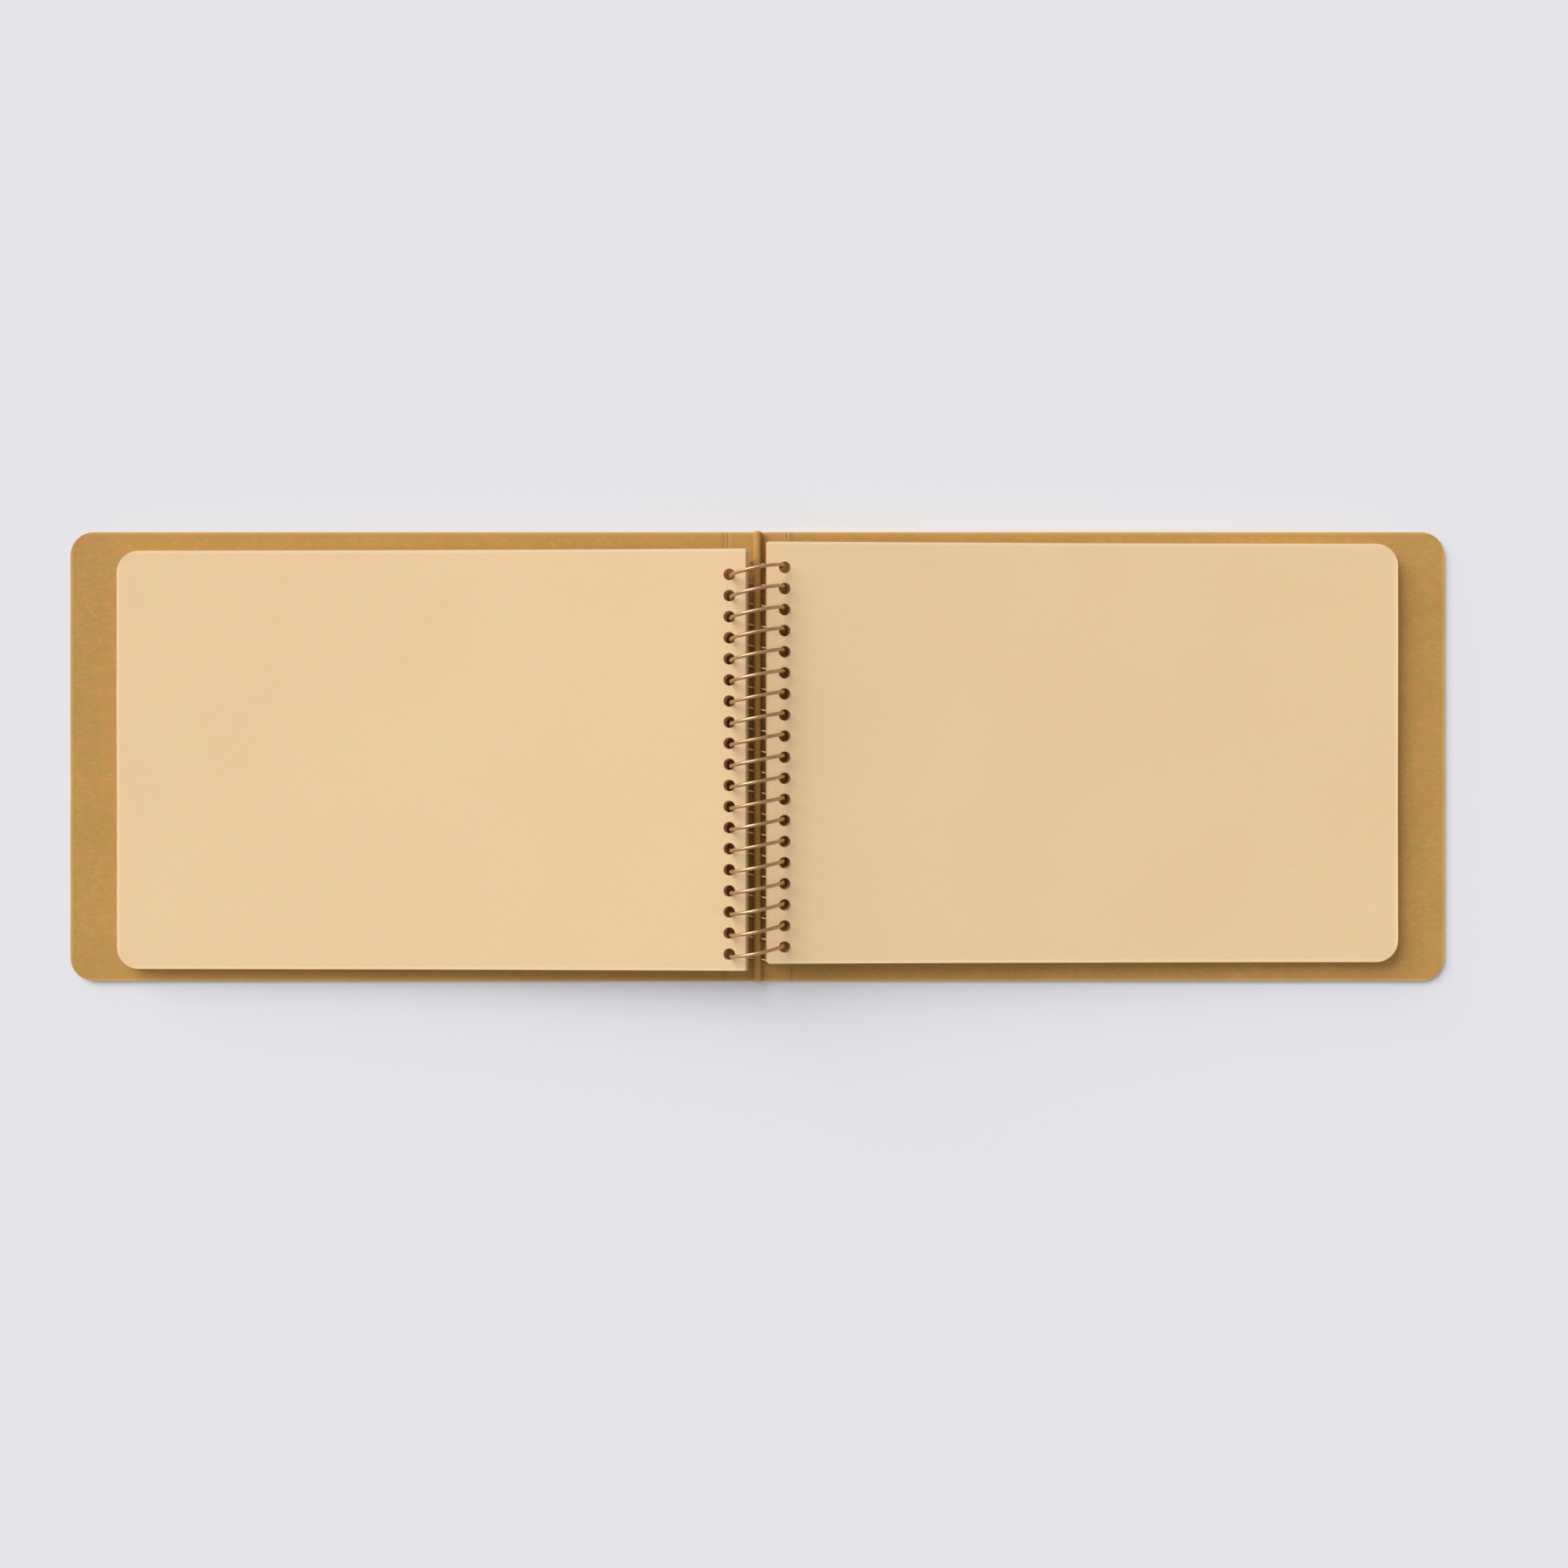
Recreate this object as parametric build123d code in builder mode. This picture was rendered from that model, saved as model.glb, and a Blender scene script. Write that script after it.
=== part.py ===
from build123d import *
from math import asin, cos, degrees, radians, sin, sqrt
import os

# Landscape sketchbook, lying open flat at its middle leaves. Millimetres, +Z up.
# X runs across the open book, Y up the page, and the binding runs along Y at X = 0.
# The underside of the cover is at Z = 0.

# Cover: one sheet of kraft board with two creases, so a front, a spine and a back panel
board_thickness = 0.9
cover_corner = 5.6
crease_groove = 0.22
border_past_fore_edge = 12.55
border_past_head_and_foot = 4.05

# Ridge: the doubled pleat of the board, along the middle of the spine, that holds the coil
ridge_round = 0.7
ridge_cap = 0.55
ridge_foot = 0.05
ridge_hole_clearance = 0.28

# Coil: one length of wire. Each turn is two half circles, leaning opposite ways along Y
wire_diameter = 0.84
coil_radius = 6.2
coil_pitch = 5.0
coil_to_cover = 0.43
coil_foot_sweep = 130
coil_head_sweep = 105

# Leaves: drawing paper, punched down the spine side
leaves_per_side = 12
leaf_thickness = 0.22
leaf_gap = 0.03
leaf_height = 100.0
leaf_corner = 5.2
hole_diameter = 2.8
hole_to_spine_edge = 3.9
hole_to_fore_edge = 146.8
foot_margin = 3.9
closed_wire_clearance = 0.15
leaf_off_cover = 0.05
leaf_off_middle = 0.3

# Sizes and places that follow from those above
wire_radius = wire_diameter / 2
half_rise = coil_pitch / 4
wire_off_centre = half_rise + closed_wire_clearance + wire_radius - hole_diameter / 2
arc_radius = sqrt(coil_radius**2 + half_rise**2)
spine_width = 2 * (coil_radius + wire_radius + coil_to_cover)
cover_panel = coil_radius + hole_to_fore_edge + border_past_fore_edge - spine_width / 2
cover_height = leaf_height + 2 * border_past_head_and_foot
ridge_width = 2 * board_thickness
ridge_hole_radius = wire_radius + ridge_hole_clearance
ridge_hole_height = board_thickness + ridge_foot + ridge_hole_radius
ridge_height = ridge_foot + 2 * ridge_hole_radius + ridge_cap
coil_height = ridge_hole_height + arc_radius
leaf_pitch = leaf_thickness + leaf_gap
stack_depth = (leaves_per_side - 1) * leaf_pitch
lowest_fore_edge = board_thickness + leaf_off_cover + leaf_thickness / 2
hole_count = int((leaf_height - 2 * foot_margin) / coil_pitch) + 1
head_margin = leaf_height - (hole_count - 1) * coil_pitch - foot_margin
first_crossing = (foot_margin - head_margin - (hole_count - 1) * coil_pitch) / 2 - half_rise


def hang_of_leaves():
    """The slope, in degrees, of leaves that hang on the coil with their far edges on the cover,
    and how far the top one's holes lie below the coil's axis."""
    slope = 0.0
    for _ in range(6):
        depth = (leaf_off_middle + coil_radius * sin(slope)) / cos(slope)
        drop = coil_height - depth - stack_depth - lowest_fore_edge
        slope = asin(drop / hole_to_fore_edge)
    return degrees(slope), depth


droop, top_leaf_depth = hang_of_leaves()


def crossing(half_turn):
    """How far up the book a half turn starts. Even ones go over the top, to the right."""
    return first_crossing + 2 * half_rise * half_turn


def coil_point(half_turn, angle):
    """The point on a half turn that lies angle degrees on from its start."""
    side = 1 if half_turn % 2 == 0 else -1
    swing = 1 - cos(radians(angle))
    return (
        side * coil_radius * (swing - 1),
        crossing(half_turn) + half_rise * swing,
        coil_height + side * arc_radius * sin(radians(angle)),
    )


def coil_arc(half_turn, start, end):
    """Three points on a half turn, for an arc through them."""
    return [coil_point(half_turn, angle) for angle in (start, (start + end) / 2, end)]


os.makedirs("parts", exist_ok=True)

# Spine panel: flat between the creases, with the punched ridge along its middle
under_turns = [crossing(2 * turn - 1) + half_rise for turn in range(hole_count + 1)]
with BuildPart() as spine_panel:
    with BuildSketch(Plane.XY):
        Rectangle(spine_width, cover_height)
    extrude(amount=board_thickness)
    creased = spine_panel.faces().sort_by(Axis.Z)[-1].edges().filter_by(Axis.Y)
    chamfer(creased, length=crease_groove)
    with BuildSketch(Plane.XY.offset(board_thickness)):
        Rectangle(ridge_width, cover_height)
    extrude(amount=ridge_height)
    ridge_top = spine_panel.faces().sort_by(Axis.Z)[-1]
    fillet(ridge_top.edges().filter_by(Axis.Y), radius=ridge_round)
    with BuildSketch(Plane.YZ.offset(-ridge_width)):
        with Locations(*[(along, ridge_hole_height) for along in under_turns]):
            Circle(ridge_hole_radius)
    extrude(amount=2 * ridge_width, mode=Mode.SUBTRACT)
spine_panel.part.label = "spine_panel"
export_step(spine_panel.part, "parts/spine_panel.step")


def cover(side):
    """One outer panel of the cover, on the left (side -1) or the right (side 1) of the spine."""
    with BuildPart() as panel:
        with BuildSketch(Plane.XY) as outline:
            with Locations((side * (spine_width + cover_panel) / 2, 0)):
                Rectangle(cover_panel, cover_height)
            free_corners = outline.vertices().group_by(Axis.X)[-1 if side > 0 else 0]
            fillet(free_corners, radius=cover_corner)
        extrude(amount=board_thickness)
        inner_edges = panel.faces().sort_by(Axis.Z)[-1].edges().filter_by(Axis.Y).sort_by(Axis.X)
        chamfer(inner_edges[0 if side > 0 else -1], length=crease_groove)
    return panel.part


front_cover = cover(-1)
front_cover.label = "front_cover"
export_step(front_cover, "parts/front_cover.step")

back_cover = cover(1)
back_cover.label = "back_cover"
export_step(back_cover, "parts/back_cover.step")

# Coil: a half turn over the top at each hole, the half turns under them, and a tail at each end
over_last = 2 * hole_count - 2
with BuildPart() as coil:
    with BuildLine() as path:
        ThreePointArc(*coil_arc(-1, 180 - coil_foot_sweep, 180))
        for half_turn in range(over_last + 1):
            ThreePointArc(*coil_arc(half_turn, 0, 180))
        ThreePointArc(*coil_arc(over_last + 1, 0, coil_head_sweep))
    with BuildSketch(Plane(origin=path.wire() @ 0, z_dir=path.wire() % 0)):
        Circle(wire_radius)
    sweep(path=path.wire())
coil.part.label = "coil"
export_step(coil.part, "parts/coil.step")


def leaf(side, place):
    """The leaf at place in its stack, 0 the lowest, on the left (side -1) or the right (side 1)."""
    depth = top_leaf_depth + (leaves_per_side - 1 - place) * leaf_pitch
    hole_reach = sqrt(coil_radius**2 - depth**2)
    wire_drift = half_rise * (1 - hole_reach / coil_radius)
    wire_shift = half_rise + wire_drift - wire_off_centre
    lowest_hole = first_crossing + half_rise + side * wire_shift
    middle = lowest_hole - foot_margin + leaf_height / 2
    sheet = Plane(
        origin=(side * hole_reach, 0, coil_height - depth),
        x_dir=(side * cos(radians(droop)), 0, -sin(radians(droop))),
        z_dir=(side * sin(radians(droop)), 0, cos(radians(droop))),
    )
    with BuildPart() as paper:
        with BuildSketch(sheet.offset(-leaf_thickness / 2)) as outline:
            with Locations(((hole_to_fore_edge - hole_to_spine_edge) / 2, side * middle)):
                Rectangle(hole_to_fore_edge + hole_to_spine_edge, leaf_height)
            fillet(outline.vertices().group_by(Axis.X)[-1], radius=leaf_corner)
            holes = [(0, side * (lowest_hole + row * coil_pitch)) for row in range(hole_count)]
            with Locations(*holes):
                Circle(hole_diameter / 2, mode=Mode.SUBTRACT)
        extrude(amount=leaf_thickness)
    return paper.part


# Leaves in reading order: the first half lies turned over on the front cover
for number in range(2 * leaves_per_side):
    turned = number < leaves_per_side
    place = number if turned else 2 * leaves_per_side - 1 - number
    drawing_leaf = leaf(-1 if turned else 1, place)
    drawing_leaf.label = f"leaf_{number + 1:02d}"
    export_step(drawing_leaf, f"parts/leaf_{number + 1:02d}.step")

print("spine width", round(spine_width, 4), "cover panel", round(cover_panel, 4))
print("coil axis height", round(coil_height, 5), "leaf slope", round(droop, 5))
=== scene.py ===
from math import atan2, cos, pi, radians, sin

import bmesh
import bpy
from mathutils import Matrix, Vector, noise
from mathutils.geometry import delaunay_2d_cdt


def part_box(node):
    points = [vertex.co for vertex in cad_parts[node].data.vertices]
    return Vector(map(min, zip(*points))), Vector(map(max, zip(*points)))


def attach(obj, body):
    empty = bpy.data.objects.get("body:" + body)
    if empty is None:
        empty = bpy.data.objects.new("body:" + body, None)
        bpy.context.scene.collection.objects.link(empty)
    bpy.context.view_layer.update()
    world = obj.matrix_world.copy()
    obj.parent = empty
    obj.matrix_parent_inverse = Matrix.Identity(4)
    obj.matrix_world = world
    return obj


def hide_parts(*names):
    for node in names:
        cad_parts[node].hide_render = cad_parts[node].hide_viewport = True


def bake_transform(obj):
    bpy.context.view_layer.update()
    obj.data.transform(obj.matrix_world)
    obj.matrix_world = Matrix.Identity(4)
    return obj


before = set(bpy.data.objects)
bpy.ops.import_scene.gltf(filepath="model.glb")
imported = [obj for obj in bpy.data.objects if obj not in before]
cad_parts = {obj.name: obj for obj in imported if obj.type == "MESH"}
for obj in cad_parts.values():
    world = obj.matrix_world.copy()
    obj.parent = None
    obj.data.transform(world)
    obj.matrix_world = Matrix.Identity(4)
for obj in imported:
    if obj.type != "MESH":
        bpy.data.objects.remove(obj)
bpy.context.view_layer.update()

# Cover board
# One sheet of uncoated kraft board, creased twice so that it wraps round the spine. Its brown
# pulp is mottled and paler along its outer edges, and each crease has a painted highlight line
# and a painted shade band.
MM = 0.001


def feed(tree, socket, value):
    """Links a Value to a socket, or sets the socket to a plain number, colour or vector."""
    if isinstance(value, Value):
        tree.links.new(value.socket, socket)
    else:
        socket.default_value = value


class Value:
    """A number or colour that varies over a surface, with arithmetic for the numbers."""

    def __init__(self, tree, socket):
        self.tree = tree
        self.socket = socket

    def maths(self, operation, *values):
        step = self.tree.nodes.new("ShaderNodeMath")
        step.operation = operation
        for socket, value in zip(step.inputs, values):
            feed(self.tree, socket, value)
        return Value(self.tree, step.outputs[0])

    def __add__(self, other):
        return self.maths("ADD", self, other)

    def __sub__(self, other):
        return self.maths("SUBTRACT", self, other)

    def __rsub__(self, other):
        return self.maths("SUBTRACT", other, self)

    def __mul__(self, other):
        return self.maths("MULTIPLY", self, other)

    def __truediv__(self, other):
        return self.maths("DIVIDE", self, other)

    __radd__ = __add__
    __rmul__ = __mul__

    def size(self):
        return self.maths("ABSOLUTE", self)

    def most(self, other):
        return self.maths("MAXIMUM", self, other)

    def clipped(self):
        return self.maths("MINIMUM", self.most(0), 1)

    def above(self, level, softness):
        """0 where this is under a level, 1 where it is over it, with a soft step between."""
        return ((self - level) / softness + 0.5).clipped()


class Finish:
    """A material, built up from nodes onto one principled shader."""

    def __init__(self, name):
        self.material = bpy.data.materials.new(name)
        self.material.use_nodes = True
        self.tree = self.material.node_tree
        self.shader = self.tree.nodes["Principled BSDF"]

    def node(self, kind, settings=(), inputs=(), output=0):
        """Adds a node: its settings first, then the values or links of its sockets."""
        made = self.tree.nodes.new(kind)
        for name, value in dict(settings).items():
            setattr(made, name, value)
        for name, value in dict(inputs).items():
            feed(self.tree, made.inputs[name], value)
        return Value(self.tree, made.outputs[output])

    def surface(self, sockets):
        """Gives the shader's sockets their values or links, and hands over the material."""
        for name, value in sockets.items():
            feed(self.tree, self.shader.inputs[name], value)
        return self.material

    def place(self, stretch=(1, 1, 1), turn=0):
        """Where a point lies on the object, in millimetres, stretched and turned about Z."""
        spot = self.node("ShaderNodeTexCoord", output="Object")
        scale = tuple(factor / MM for factor in stretch)
        turned = (0, 0, radians(turn))
        inputs = {"Vector": spot, "Scale": scale, "Rotation": turned}
        return self.node("ShaderNodeMapping", inputs=inputs)

    def grain(self, across, detail=3, stretch=(1, 1, 1), turn=0, roughness=0.5):
        """Cloudy noise between 0 and 1 whose lumps are about `across` millimetres wide."""
        inputs = {
            "Vector": self.place(stretch, turn),
            "Scale": 1 / across,
            "Detail": detail,
            "Roughness": roughness,
        }
        return self.node("ShaderNodeTexNoise", inputs=inputs)

    def blend(self, factor, first, second):
        """A colour between two colours, which a Mix node takes in its sockets 6 and 7."""
        inputs = {"Factor": factor, 6: first, 7: second}
        for slot in (6, 7):
            if not isinstance(inputs[slot], Value):
                inputs[slot] = (*inputs[slot], 1)
        return self.node("ShaderNodeMix", {"data_type": "RGBA"}, inputs, output=2)

    def across_and_up(self, output):
        """Where a point lies across and up, on the object or, with "UV", on its flat sheet."""
        spot = self.node("ShaderNodeTexCoord", output=output)
        across = self.node("ShaderNodeSeparateXYZ", inputs={"Vector": spot})
        return across, Value(self.tree, across.socket.node.outputs["Y"])

    def relief(self, height, depth):
        """A bump normal from a height between 0 and 1, `depth` millimetres deep."""
        return self.node("ShaderNodeBump", inputs={"Height": height, "Distance": depth * MM})


_, spine_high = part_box("spine_panel")
board_low, board_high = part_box("front_cover")
board_thickness = board_high[2] - board_low[2]
crease_at = spine_high[0]
cover_edge = -board_low[0]
cover_head = board_high[1]
rim_width = 0.8 * MM
crease_highlight_width = 0.9 * MM
crease_shade_width = 1.0 * MM
crease_shade_offset = 1.1 * MM
dark_pulp = (0.468, 0.250, 0.066)
light_pulp = (0.545, 0.296, 0.086)
rusty_pulp = (0.560, 0.268, 0.084)
olive_pulp = (0.455, 0.282, 0.064)
pale_fibre = (0.700, 0.430, 0.170)
dark_speck = (0.240, 0.115, 0.030)
light_speck = (0.780, 0.500, 0.210)
pale_rim_colour = (0.74, 0.42, 0.12)
# Colours of the painted highlight on each crease line and the painted shade band beside it
crease_highlight_colour = (0.72, 0.44, 0.19)
crease_shade_colour = (0.24, 0.12, 0.035)


def kraft_board():
    """Mottled brown pulp with fibres and specks, a paler rim, and painted highlight and shade at
    each crease.
    """
    kraft = Finish("kraft_board")
    cloud = kraft.grain(14)
    rust = kraft.grain(3.4, detail=6, roughness=0.66)
    olive = kraft.grain(2.6, detail=6, turn=35, roughness=0.66)
    fibres = kraft.grain(0.6, detail=5, stretch=(0.45, 1, 1), turn=12, roughness=0.65)
    felt = kraft.grain(0.24, detail=5, roughness=0.7)
    colour = kraft.blend(cloud.above(0.5, 0.5), dark_pulp, light_pulp)
    colour = kraft.blend(rust.above(0.53, 0.16) * 0.70, colour, rusty_pulp)
    colour = kraft.blend(olive.above(0.52, 0.16) * 0.75, colour, olive_pulp)
    colour = kraft.blend(fibres.above(0.60, 0.20) * 0.30, colour, pale_fibre)
    colour = kraft.blend(felt.above(0.64, 0.12) * 0.35, colour, dark_speck)
    colour = kraft.blend((1 - felt).above(0.66, 0.10) * 0.30, colour, light_speck)
    across, up = (distance.size() for distance in kraft.across_and_up("Object"))
    # The board is paler along its outer edges
    rim = (across - (cover_edge - rim_width)).most(up - (cover_head - rim_width)) / rim_width
    colour = kraft.blend((rim * 1.4).clipped() * (0.30 + 0.35 * cloud), colour, pale_rim_colour)
    # Painted highlight: a paler line along each crease, broken up by the fibres
    crease_highlight = (1 - (across - crease_at).size() / crease_highlight_width).clipped() * (0.25 + 0.6 * fibres)
    colour = kraft.blend(crease_highlight.clipped() * 0.55, colour, crease_highlight_colour)
    # Painted shade: a darker band just outside each crease
    crease_shade = (1 - (across - (crease_at + crease_shade_offset)).size() / crease_shade_width).clipped()
    colour = kraft.blend(crease_shade * 0.30, colour, crease_shade_colour)
    return kraft.surface(
        {
            "Base Color": colour,
            "Roughness": 0.78 + 0.16 * cloud,
            "Specular IOR Level": 0.28,
            "Normal": kraft.relief(rust * 0.3 + fibres * 0.3 + felt * 0.4, 0.06),
        }
    )


board_look = kraft_board()
for panel in ("spine_panel", "front_cover", "back_cover"):
    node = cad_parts[panel]
    node.data.materials.clear()
    node.data.materials.append(board_look)

# Creases
# Each fold is kraft board too, whose outer plies stretch round the corner as the cover folds.
# Here it is a strip that lies just inside the flat board, under its groove.
crease_reach = 0.55 * MM
crease_inset = 0.03 * MM
crease_groove = 0.22 * MM
crease_steps = 20


def crease(name, side):
    """A strip of board across one fold, under its groove."""
    low = crease_inset
    along = cover_head - crease_inset
    fold = bmesh.new()
    rings = []
    for step in range(crease_steps + 1):
        from_fold = crease_reach * (2 * step / crease_steps - 1)
        across = side * (crease_at + from_fold)
        high = board_thickness - crease_inset - max(0, crease_groove - abs(from_fold))
        corners = ((-along, low), (along, low), (along, high), (-along, high))
        rings.append([fold.verts.new((across, y, z)) for y, z in corners])
    for near, far in zip(rings, rings[1:]):
        for corner in range(4):
            after = (corner + 1) % 4
            fold.faces.new((near[corner], near[after], far[after], far[corner]))
    fold.faces.new(rings[0])
    fold.faces.new(rings[-1][::-1])
    bmesh.ops.recalc_face_normals(fold, faces=fold.faces)
    mesh = bpy.data.meshes.new(name)
    fold.to_mesh(mesh)
    fold.free()
    piece = bpy.data.objects.new(name, mesh)
    bpy.context.collection.objects.link(piece)
    mesh.materials.append(board_look)
    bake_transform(piece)


crease("front_crease", -1)
crease("back_crease", 1)

# Coil
# One length of drawn wire with a warm rose-coloured plating, wound into turns and threaded
# through the pleat and the leaves. Its surface is finely rough, and dull and specked in places.
bright_rose = (0.60, 0.370, 0.215)
dull_rose = (0.47, 0.275, 0.145)
tarnish = (0.38, 0.20, 0.11)


def rose_wire():
    """Rose-coloured plating with soft dull patches and small spots of tarnish."""
    wire = Finish("rose_wire")
    dull = wire.grain(3.5)
    frost = wire.grain(0.10, detail=4)
    specks = wire.grain(0.45, detail=5, roughness=0.7)
    colour = wire.blend(dull.above(0.5, 0.5), bright_rose, dull_rose)
    colour = wire.blend(specks.above(0.63, 0.1) * 0.5, colour, tarnish)
    return wire.surface(
        {
            "Base Color": colour,
            "Metallic": 0.92,
            "Roughness": 0.27 + 0.16 * dull + 0.08 * frost,
            "Normal": wire.relief(frost, 0.006),
        }
    )


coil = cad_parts["coil"]
coil.data.materials.clear()
coil.data.materials.append(rose_wire())
coil.data.shade_smooth()

# Drawing leaves
# Uncoated cream drawing paper with a slight tooth, cut square at the spine and round at the
# fore-edge, and punched with a row of round holes. Each leaf sags from the coil onto the cover.
leaf_thickness = 0.22 * MM
leaf_corner = 5.2 * MM
hole_pitch = 5.0 * MM
hole_radius = 1.4 * MM
hole_to_spine_edge = 3.9 * MM
foot_margin = 3.9 * MM
hole_count = 19

# How finely a leaf is divided: round its holes and edges, and in staggered rows between them
hole_sides = 28
inside_hole = hole_radius * 0.98
corner_steps = 8
foot_steps, fore_steps, spine_steps = 30, 20, 40
mesh_step = 4.5 * MM
first_column = 0.6
row_stagger = 0.25
point_merge = 1e-7

# How a leaf hangs: its sag, its cockles to the metre, its slide within the play of its holes,
# and how much longer or shorter than its neighbours it was cut
sag_share = 0.6
cockle = 0.20 * MM
cockle_middle = 0.2
cockles_across, cockles_up = 22, 26
cockle_seed, cockle_side_seed = 3.7, 5
loosening, least_looseness = 1.6, 0.6
top_slide = 0.4 * MM
lowest_slide = 0.75 * MM
cut_play = 0.25 * MM
cut_step, cut_side_step, cut_seed = 1.7, 9.3, 0.5

# Width of the painted highlight round a leaf's cut rim
rim_highlight_width = 0.9 * MM
shaded_cream = (0.812, 0.580, 0.325)
light_cream = (0.842, 0.616, 0.354)
warm_cream = (0.850, 0.592, 0.350)
brown_fibre = (0.640, 0.430, 0.210)
bright_tooth = (0.930, 0.740, 0.480)
bright_fleck = (0.940, 0.790, 0.560)
# Colour of that painted highlight
rim_highlight_colour = (0.960, 0.740, 0.440)

leaf_names = sorted(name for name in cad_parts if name.startswith("leaf_"))
leaves_per_side = len(leaf_names) // 2
first_low, first_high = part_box(leaf_names[0])
first_reach = first_high[0] - first_low[0]
first_fall = first_high[2] - first_low[2] - leaf_thickness
flat_length = first_reach / cos(atan2(first_fall, first_reach))
leaf_height = first_high[1] - first_low[1]


def leaf_outline():
    """The cut edge of a leaf, from the spine edge's foot round to its head."""
    spine = -hole_to_spine_edge
    fore = flat_length - hole_to_spine_edge
    straight = fore - leaf_corner
    corners = []
    for centre, start in ((leaf_corner, -pi / 2), (leaf_height - leaf_corner, 0)):
        for step in range(corner_steps + 1):
            turn = start + step * pi / 2 / corner_steps
            across = straight + leaf_corner * cos(turn)
            corners.append((across, centre + leaf_corner * sin(turn)))
    foot = [(spine + (straight - spine) * n / foot_steps, 0) for n in range(foot_steps)]
    head = [(across, leaf_height) for across, _ in reversed(foot)]
    rise = leaf_height - 2 * leaf_corner
    fore_edge = [(fore, leaf_corner + rise * n / fore_steps) for n in range(1, fore_steps)]
    spine_edge = [(spine, leaf_height * (1 - n / spine_steps)) for n in range(1, spine_steps)]
    foot_corner, head_corner = corners[: corner_steps + 1], corners[corner_steps + 1 :]
    return foot + foot_corner + fore_edge + head_corner + head + spine_edge


def leaf_pattern():
    """A leaf's flat face as points and triangles, with its holes left open."""
    holes = [foot_margin + number * hole_pitch for number in range(hole_count)]
    rings = [leaf_outline()]
    for middle in holes:
        turns = [-2 * pi * side / hole_sides for side in range(hole_sides)]
        rings.append([(hole_radius * cos(t), middle + hole_radius * sin(t)) for t in turns])
    points = [Vector(point) for ring in rings for point in ring]
    edges = []
    start = 0
    for ring in rings:
        edges += [(start + n, start + (n + 1) % len(ring)) for n in range(len(ring))]
        start += len(ring)
    columns = int((flat_length - 2 * mesh_step) / mesh_step)
    rows = int(leaf_height / mesh_step)
    for column in range(columns):
        across = hole_radius + mesh_step * (column + first_column)
        if across < flat_length - hole_to_spine_edge - leaf_corner:
            lowest = 0.5 + row_stagger * (column % 2)
            ups = [leaf_height * (row + lowest) / (rows + row_stagger) for row in range(rows)]
            points += [Vector((across, up)) for up in ups]
    only_inside = 1
    verts, _, faces, _, _, _ = delaunay_2d_cdt(points, edges, [], only_inside, point_merge)

    def in_a_hole(face):
        middle = sum((verts[v] for v in face), Vector((0, 0))) / len(face)
        return any((middle - Vector((0, hole))).length < inside_hole for hole in holes)

    return verts, [face for face in faces if not in_a_hole(face)]


def hung_faces(name, flat_points, side, place):
    """Where a leaf's flat points lie once it hangs on the coil, on its under face and its upper
    one. Place 0 is the lowest leaf of a stack, on the cover."""
    low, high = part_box(name)
    reach = high[0] - low[0]
    fore = reach - hole_to_spine_edge
    slope = atan2(high[2] - low[2] - leaf_thickness, reach)
    spine_edge = high[0] if side < 0 else low[0]
    drop = (high[2] - low[2]) * sag_share
    slide = lowest_slide + (top_slide - lowest_slide) * place / (leaves_per_side - 1)
    cut = cut_play * noise.noise(Vector((place * cut_step, cut_side_step * side, cut_seed)))
    lift = cockle * place / leaves_per_side
    spots = []
    for x, y in flat_points:
        share = x / fore
        from_edge = x * (1 + cut / fore * share) + hole_to_spine_edge
        across = spine_edge + side * (from_edge * cos(slope) + slide)
        wave = (x * cockles_across + cockle_side_seed * side, y * cockles_up, cockle_seed)
        ripple = noise.noise(Vector(wave)) - cockle_middle
        looseness = min(1, max(0, share * loosening)) * (least_looseness + share)
        level = high[2] - leaf_thickness / 2 - (x + hole_to_spine_edge) * sin(slope)
        level += lift * ripple * looseness - drop * share * (1 - share)
        spots.append((across, low[1] + y, level))
    return [[(x, y, z + way * leaf_thickness / 2) for x, y, z in spots] for way in (-1, 1)]


def paper_leaf(name, pattern, side, place):
    """One leaf as a closed sheet, with its own flat map for the finish."""
    flat_points, faces = pattern
    sheet = bmesh.new()
    hung = hung_faces(name, flat_points, side, place)
    under, over = [[sheet.verts.new(spot) for spot in face] for face in hung]
    for face in faces:
        sheet.faces.new([over[v] for v in face])
        sheet.faces.new([under[v] for v in reversed(face)])
    upper = set(over)
    partner = dict(zip(over, under))
    for edge in [edge for edge in sheet.edges if edge.is_boundary and edge.verts[0] in upper]:
        first, second = edge.verts
        sheet.faces.new((first, second, partner[second], partner[first]))
    bmesh.ops.recalc_face_normals(sheet, faces=sheet.faces)
    places = [((x + hole_to_spine_edge) / first_reach, y / leaf_height) for x, y in flat_points]
    place_of = dict(zip(under + over, places + places))
    flat_map = sheet.loops.layers.uv.new("leaf")
    for face in sheet.faces:
        for corner in face.loops:
            corner[flat_map].uv = place_of[corner.vert]
    mesh = bpy.data.meshes.new("paper_" + name)
    sheet.to_mesh(mesh)
    sheet.free()
    piece = bpy.data.objects.new("paper_" + name, mesh)
    bpy.context.collection.objects.link(piece)
    return piece


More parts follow.
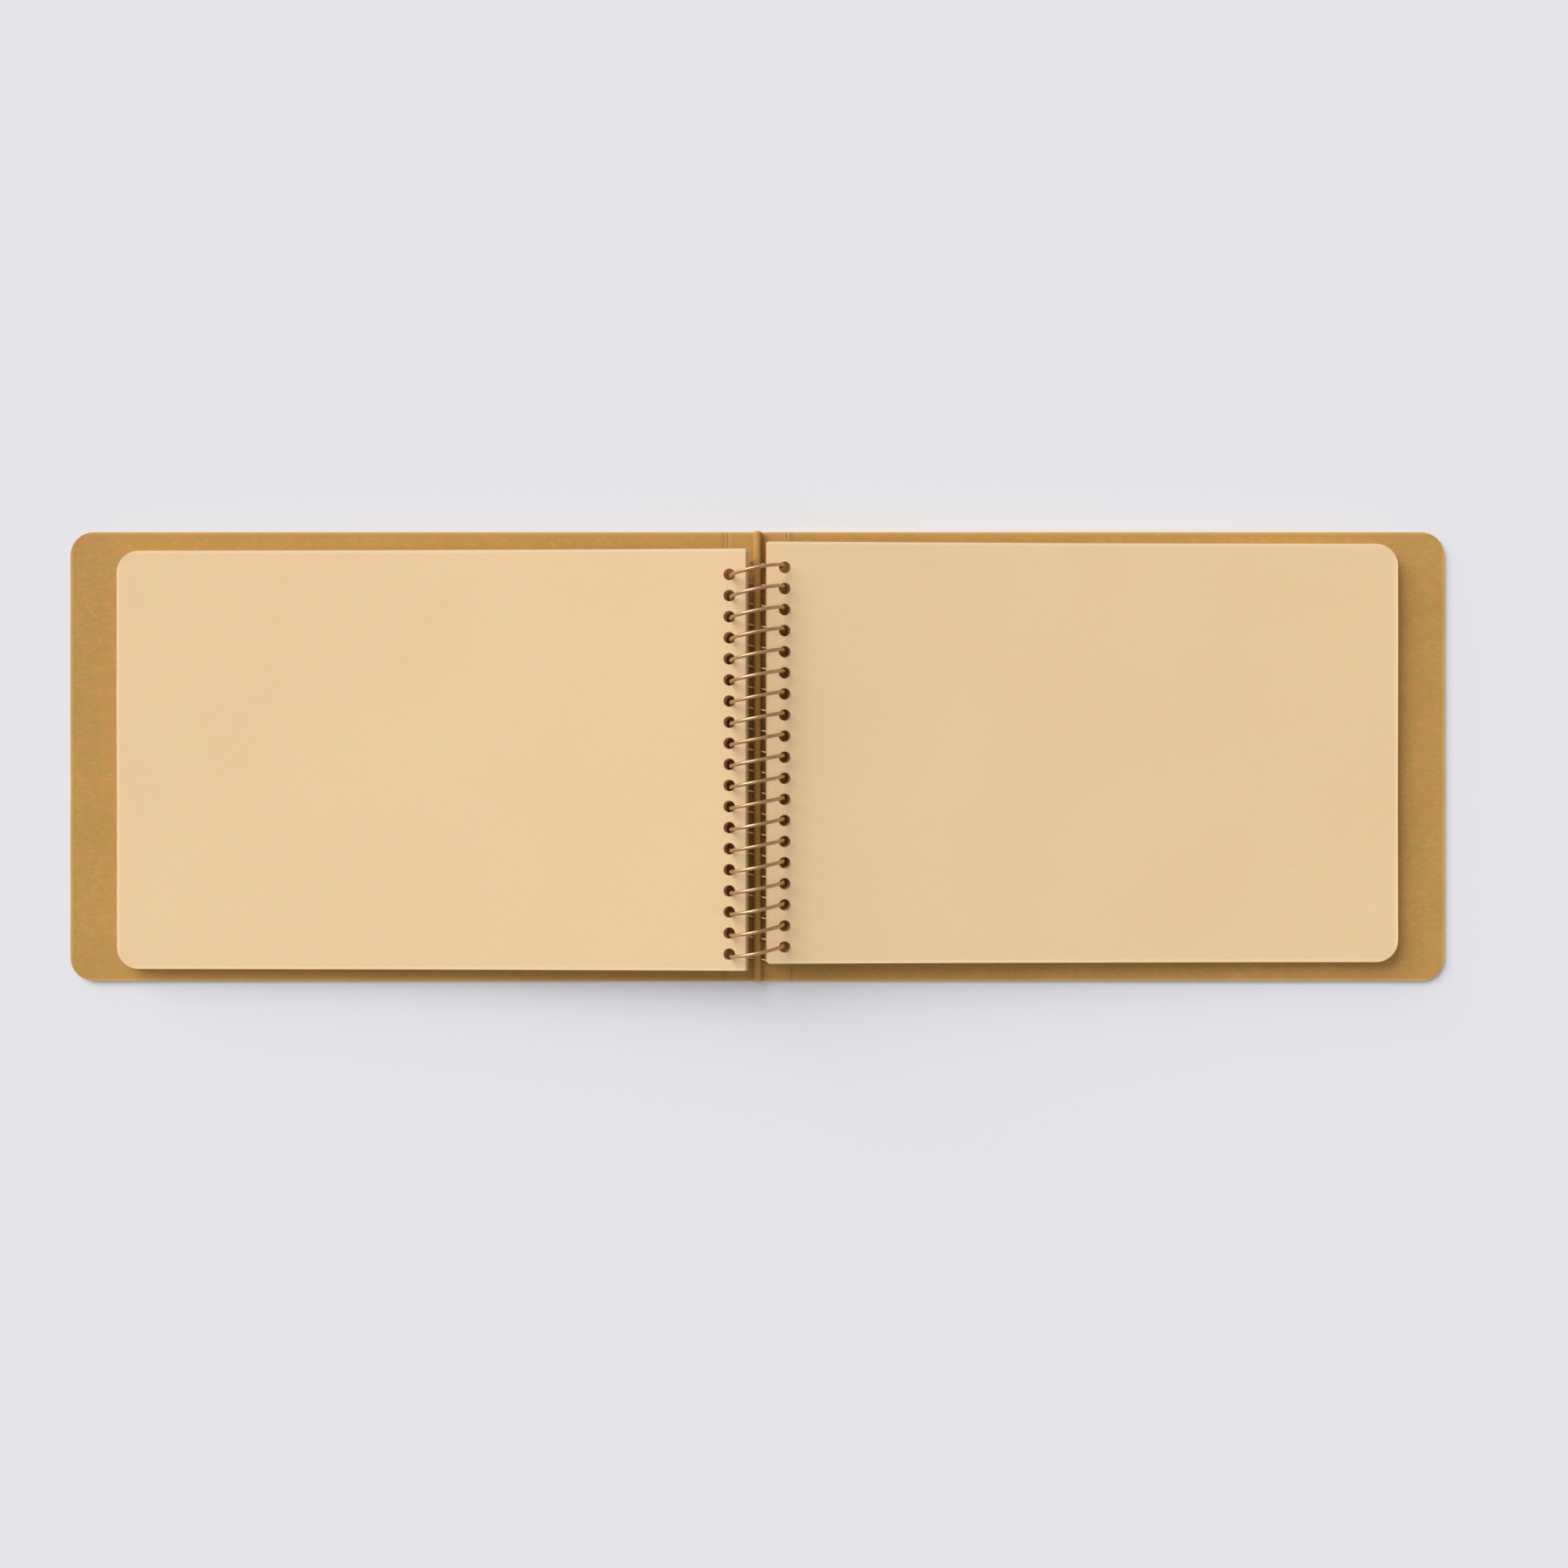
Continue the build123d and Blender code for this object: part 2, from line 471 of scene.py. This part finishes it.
def drawing_paper():
    """Cream paper, faintly blotched, with fibres, flecks, a fine tooth and a painted highlight
    round its cut rim.
    """
    paper = Finish("drawing_paper")
    cloud = paper.grain(30)
    blotch = paper.grain(3.2, detail=5, roughness=0.6)
    tooth = paper.grain(0.32, detail=5, roughness=0.7)
    fibres = paper.grain(0.6, detail=5, stretch=(0.2, 1, 1), turn=23, roughness=0.65)
    flecks = paper.grain(0.85, detail=2)
    colour = paper.blend(cloud.above(0.5, 0.6), shaded_cream, light_cream)
    colour = paper.blend(blotch.above(0.5, 0.4) * 0.35, colour, warm_cream)
    colour = paper.blend(fibres.above(0.62, 0.14) * 0.14, colour, brown_fibre)
    colour = paper.blend(tooth.above(0.6, 0.2) * 0.12, colour, bright_tooth)
    colour = paper.blend(flecks.above(0.76, 0.03) * 0.30, colour, bright_fleck)
    # Painted highlight: a brighter band round the fore-edge, head and foot of each leaf
    along, up = paper.across_and_up("UV")
    to_fore_edge = (1 - along) * flat_length
    to_head_or_foot = (0.5 - (up - 0.5).size()) * leaf_height
    rim_highlight = (1 - to_fore_edge / rim_highlight_width).most(1 - to_head_or_foot / rim_highlight_width).clipped()
    colour = paper.blend(rim_highlight * 0.7, colour, rim_highlight_colour)
    return paper.surface(
        {
            "Base Color": colour,
            "Roughness": 0.82 + 0.12 * tooth,
            "Specular IOR Level": 0.22,
            "Normal": paper.relief(tooth * 0.6 + fibres * 0.4, 0.022),
        }
    )


paper_look = drawing_paper()
pattern = leaf_pattern()
for number, name in enumerate(leaf_names):
    side = -1 if number < leaves_per_side else 1
    place = number if side < 0 else 2 * leaves_per_side - 1 - number
    piece = paper_leaf(name, pattern, side, place)
    piece.data.materials.append(paper_look)
    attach(piece, name)
    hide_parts(name)

# Table, light and camera
# A plain pale table, wide soft light from the upper left under an even pale sky, and a camera
# that looks straight down on the open book.
table_size = 12.0
bpy.ops.mesh.primitive_plane_add(size=table_size, location=(0, 0, 0))
table = bpy.context.object
table.name = "table"
table_top = Finish("pale_table").surface(
    {"Base Color": (0.802, 0.803, 0.828, 1), "Roughness": 0.9, "Specular IOR Level": 0.1}
)
table.data.materials.append(table_top)

key_from = Vector((-0.82, 0.78, 0.62))
key = bpy.data.lights.new("key", "SUN")
key.energy = 3.3
key.angle = radians(52)
key.color = (1, 0.985, 0.965)
key_holder = bpy.data.objects.new("key", key)
bpy.context.collection.objects.link(key_holder)
key_holder.rotation_euler = (-key_from).to_track_quat("-Z", "Y").to_euler()

sky = bpy.data.worlds.new("studio")
sky.use_nodes = True
sky_light = sky.node_tree.nodes["Background"]
sky_light.inputs["Color"].default_value = (0.94, 0.955, 1, 1)
sky_light.inputs["Strength"].default_value = 0.50
scene = bpy.context.scene
scene.world = sky
scene.view_settings.view_transform = "Standard"

view_width = 0.3779
camera_across, camera_up, camera_height = 0.0064, -0.0066, 0.40
camera = bpy.data.cameras.new("camera")
camera.sensor_width = 36
camera.lens = camera.sensor_width * (camera_height - board_thickness) / view_width
camera_holder = bpy.data.objects.new("camera", camera)
bpy.context.collection.objects.link(camera_holder)
camera_holder.location = (camera_across, camera_up, camera_height)
scene.camera = camera_holder
